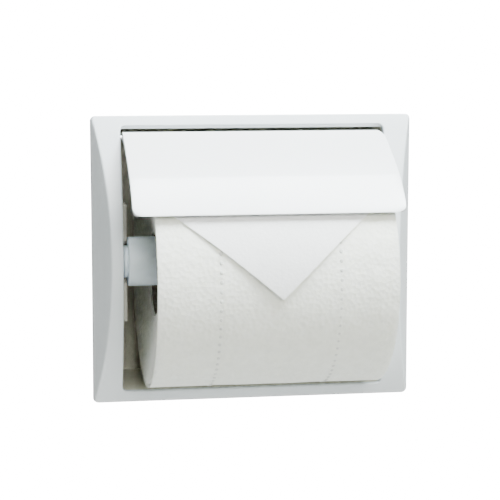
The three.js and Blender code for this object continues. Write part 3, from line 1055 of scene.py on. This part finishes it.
def screwTree():
    # The head rises from the origin along Z and the shank runs down from it
    t = NodeTree("screw", {
        "Head Radius": "Float", "Head Height": "Float", "Shank Radius": "Float", "Length": "Float"})
    head, tall, shank, length = (t.given[k] for k in ("Head Radius", "Head Height", "Shank Radius", "Length"))
    s = screwShares

    def stub(low, high, depth, base, sides):
        cone = t.wired("GeometryNodeMeshCone", {
            "Vertices": sides, "Depth": depth, "Radius Bottom": low, "Radius Top": high})
        return t.moved(cone.outputs["Mesh"], place=t.vector(z=base))

    band = t.times(tall, s["band"])
    drum = stub(head, head, band, 0.0, 32)
    dome = stub(head, t.times(head, s["dome"]), t.maths("SUBTRACT", tall, band), band, 32)
    blade = t.times(head, s["bladeLength"])
    slit = t.times(head, s["bladeWidth"])
    deep = t.times(t.times(tall, s["recess"]), 2.0)
    bars = []
    for size in (t.vector(blade, slit, deep), t.vector(slit, blade, deep)):
        bar = t.node("GeometryNodeMeshCube", Size=size)
        bars.append(t.moved(bar.outputs["Mesh"], place=t.vector(z=tall)))
    recessed = t.boolean("DIFFERENCE", bars, t.boolean("UNION", (drum, dome)))

    root = t.times(shank, s["root"])
    point = t.times(shank, s["point"])
    straight = t.maths("SUBTRACT", length, point)
    foot = t.times(straight, -1.0)
    body = stub(root, root, t.maths("ADD", straight, t.times(band, 0.5)), foot, 20)
    tip = stub(t.times(shank, s["tip"]), t.times(root, s["pointTop"]), t.times(point, s["overlap"]),
               t.times(length, -1.0), 20)
    helix = t.wired("GeometryNodeCurveSpiral", {
        "Resolution": 16, "Height": straight, "Start Radius": root, "End Radius": root,
        "Rotations": t.maths("DIVIDE", straight, t.times(shank, s["threadPitch"]))})
    ridge = t.node("GeometryNodeCurvePrimitiveCircle", Resolution=4, Radius=t.times(shank, s["threadHeight"]))
    thread = t.wired("GeometryNodeCurveToMesh", {
        "Curve": helix.outputs["Curve"], "Profile Curve": ridge.outputs["Curve"], "Fill Caps": True})
    threaded = t.moved(thread.outputs["Mesh"], place=t.vector(z=foot))
    t.close(t.join(recessed, body, tip, threaded), finishes["brightSteel"])
    return t


def buildScrews(name, kind, tree):
    screw = tree.run({
        "Head Radius": kind["head"] * mm,
        "Head Height": kind["headHeight"] * mm,
        "Shank Radius": kind["shank"] * mm,
        "Length": kind["length"] * mm,
    }, smoothAngle=35)
    x, y, z = kind["at"]
    firstSpin, nextSpin = screwSpin
    parts = []
    for i, (side, level) in enumerate(((-1, -1), (-1, 1), (1, -1), (1, 1))):
        towards = Vector((0, 1, 0)) if kind["faces"] == "back" else Vector((-side, 0, 0))
        turn = towards.to_track_quat("Z", "Y").to_matrix().to_4x4()
        spin = Matrix.Rotation(firstSpin + nextSpin * i, 4, "Z")
        place = Matrix.Translation((side * x * mm, y * mm, level * z * mm))
        parts.append((screw, place @ turn @ spin))
    piece = gatherMeshes(name, parts, finishes["brightSteel"], smoothAngle=35)
    names = [f"{kind['node']}_{side}_{level}" for side in ("left", "right") for level in ("lower", "upper")]
    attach(piece, "housing")
    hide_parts(*names)
    return piece


oneScrew = screwTree()
for screwName, screwKind in screwKinds.items():
    screws = buildScrews(screwName, screwKind, oneScrew)
    print(screwName, "built:", len(screws.data.polygons), "faces")


def dressNode(name, finish, rounding):
    node = nodes[name]
    node.data.materials.clear()
    node.data.materials.append(finishes[finish])
    addWeld(node, reach=0.01)
    if rounding:
        addBevel(node, rounding, segments=2, sharpest=50)
    smooth = node.modifiers.new("shade", "WEIGHTED_NORMAL")
    smooth.keep_sharp = True


nodeFinishes = {  # finish and rounding of the edges
    "recess_tub": ("tubOlivePaintedShade", 0.4),
    "left_socket_plate": ("plateCreamPaintedShade", 0.25),
    "right_socket_plate": ("plateCreamPaintedShade", 0.25),
    "hinge_rod": ("brightSteel", 0.0),
    "spindle_barrel": ("spindleCloudy", 0.0),
    "spindle_plunger": ("spindleCloudy", 0.0),
}
for name, (finish, rounding) in nodeFinishes.items():
    dressNode(name, finish, rounding)
print("model pieces dressed:", len(nodeFinishes))


studio = {
    "floorDrop": 0.9,
    "floorSize": 12.0,
    "white": 18.0,  # brightness of the backdrop itself
    "around": [  # direction the light comes from, and its colour
        ((0, 0, 1), (0.52, 0.49, 0.40)),
        ((-1, 0, 0), (0.02, 0.04, 0.07)),
        ((0, -1, 0), (0.02, 0.02, 0.02)),
    ],
    "lamps": {
        "overhead": dict(place=(0.15, -0.25, 1.1), size=0.8, power=60.0, colour=(0.92, 0.97, 1.0)),
        "rake": dict(place=(0.2, -0.03, 1.1), size=0.5, power=4.0, colour=(0.8, 0.9, 1.0)),
        "key": dict(place=(0.5, -0.45, 1.0), size=0.35, power=18.0, colour=(0.8, 0.92, 1.0)),
        "window": dict(place=(0.9, -0.35, 0.8), size=0.4, power=9.0, colour=(0.95, 1.0, 0.8)),
        "front": dict(place=(0.15, -1.25, 0.6), size=0.6, power=17.5, colour=(1.0, 1.0, 0.93)),
    },
}


def seenAsWhite(tree, lit, seen, surface):
    # The camera sees the backdrop white, and the object gets the soft light
    path = tree.nodes.new("ShaderNodeLightPath")
    mix = tree.nodes.new("ShaderNodeMixShader")
    tree.links.new(path.outputs["Is Camera Ray"], mix.inputs["Fac"])
    tree.links.new(lit, mix.inputs[1])
    tree.links.new(seen, mix.inputs[2])
    tree.links.new(mix.outputs["Shader"], surface)


def addFloor():
    half = studio["floorSize"] / 2
    low = cadBox[0][2] - studio["floorDrop"]
    corners = [(-half, -half, low), (half, -half, low), (half, half, low), (-half, half, low)]
    mesh = bpy.data.meshes.new("floor")
    mesh.from_pydata(corners, [], [(0, 1, 2, 3)])
    floor = addObject("floor", mesh)
    mat, tree, shader, where = startFinish("paleFloor")
    cloud = addNoise(tree, where, scale=2, detail=2)
    tintBetween(tree, shader, cloud, low=(0.93, 0.93, 0.93), high=(0.95, 0.95, 0.95))
    shader.inputs["Roughness"].default_value = 0.9
    seen = tree.nodes.new("ShaderNodeEmission")
    seen.inputs["Strength"].default_value = studio["white"]
    surface = tree.nodes["Material Output"].inputs["Surface"]
    seenAsWhite(tree, shader.outputs["BSDF"], seen.outputs["Emission"], surface)
    mesh.materials.append(mat)


def addWorld():
    # The soft light round the object changes with direction
    world = bpy.data.worlds.new("studio")
    bpy.context.scene.world = world
    world.use_nodes = True
    tree = world.node_tree
    where = tree.nodes.new("ShaderNodeTexCoord").outputs["Generated"]
    total = None
    for direction, colour in studio["around"]:
        facing = tree.nodes.new("ShaderNodeVectorMath")
        facing.operation = "DOT_PRODUCT"
        facing.inputs[1].default_value = direction
        tree.links.new(where, facing.inputs[0])
        clamp = tree.nodes.new("ShaderNodeClamp")
        tree.links.new(facing.outputs["Value"], clamp.inputs["Value"])
        tint = tree.nodes.new("ShaderNodeVectorMath")
        tint.operation = "SCALE"
        tint.inputs[0].default_value = colour
        tree.links.new(clamp.outputs["Result"], tint.inputs["Scale"])
        if total is None:
            total = tint.outputs["Vector"]
            continue
        join = tree.nodes.new("ShaderNodeVectorMath")
        join.operation = "ADD"
        tree.links.new(total, join.inputs[0])
        tree.links.new(tint.outputs["Vector"], join.inputs[1])
        total = join.outputs["Vector"]
    soft = tree.nodes["Background"]
    soft.inputs["Strength"].default_value = 1.0
    tree.links.new(total, soft.inputs["Color"])
    seen = tree.nodes.new("ShaderNodeBackground")
    seen.inputs["Color"].default_value = (1, 1, 1, 1)
    seen.inputs["Strength"].default_value = studio["white"]
    surface = tree.nodes["World Output"].inputs["Surface"]
    seenAsWhite(tree, soft.outputs["Background"], seen.outputs["Background"], surface)


def addLamp(name, lamp):
    light = bpy.data.lights.new(name, "AREA")
    light.shape = "SQUARE"
    light.size = lamp["size"]
    light.energy = lamp["power"]
    light.color = lamp["colour"]
    item = addObject(name, light)
    item.location = lamp["place"]
    item.rotation_euler = (-Vector(lamp["place"])).to_track_quat("-Z", "Y").to_euler()


cameraView = {
    "place": (-0.13545, -0.81852, 0.10880),
    "yaw": 9.325,  # degrees to the right of straight ahead
    "pitch": 7.218,  # degrees down
    "sensor": 36,
    "lens": 120.84,
    "near": 0.05,
    "far": 50,
}


def addCamera():
    c = cameraView
    data = bpy.data.cameras.new("camera")
    data.sensor_width = c["sensor"]
    data.lens = c["lens"]
    data.clip_start = c["near"]
    data.clip_end = c["far"]
    yaw, pitch = math.radians(c["yaw"]), math.radians(c["pitch"])
    look = Vector((math.sin(yaw) * math.cos(pitch), math.cos(yaw) * math.cos(pitch), -math.sin(pitch)))
    camera = addObject("camera", data)
    camera.location = c["place"]
    camera.rotation_euler = look.to_track_quat("-Z", "Y").to_euler()
    bpy.context.scene.camera = camera


addFloor()
addWorld()
for name, lamp in studio["lamps"].items():
    addLamp(name, lamp)
addCamera()
print("stage, lights and camera set")
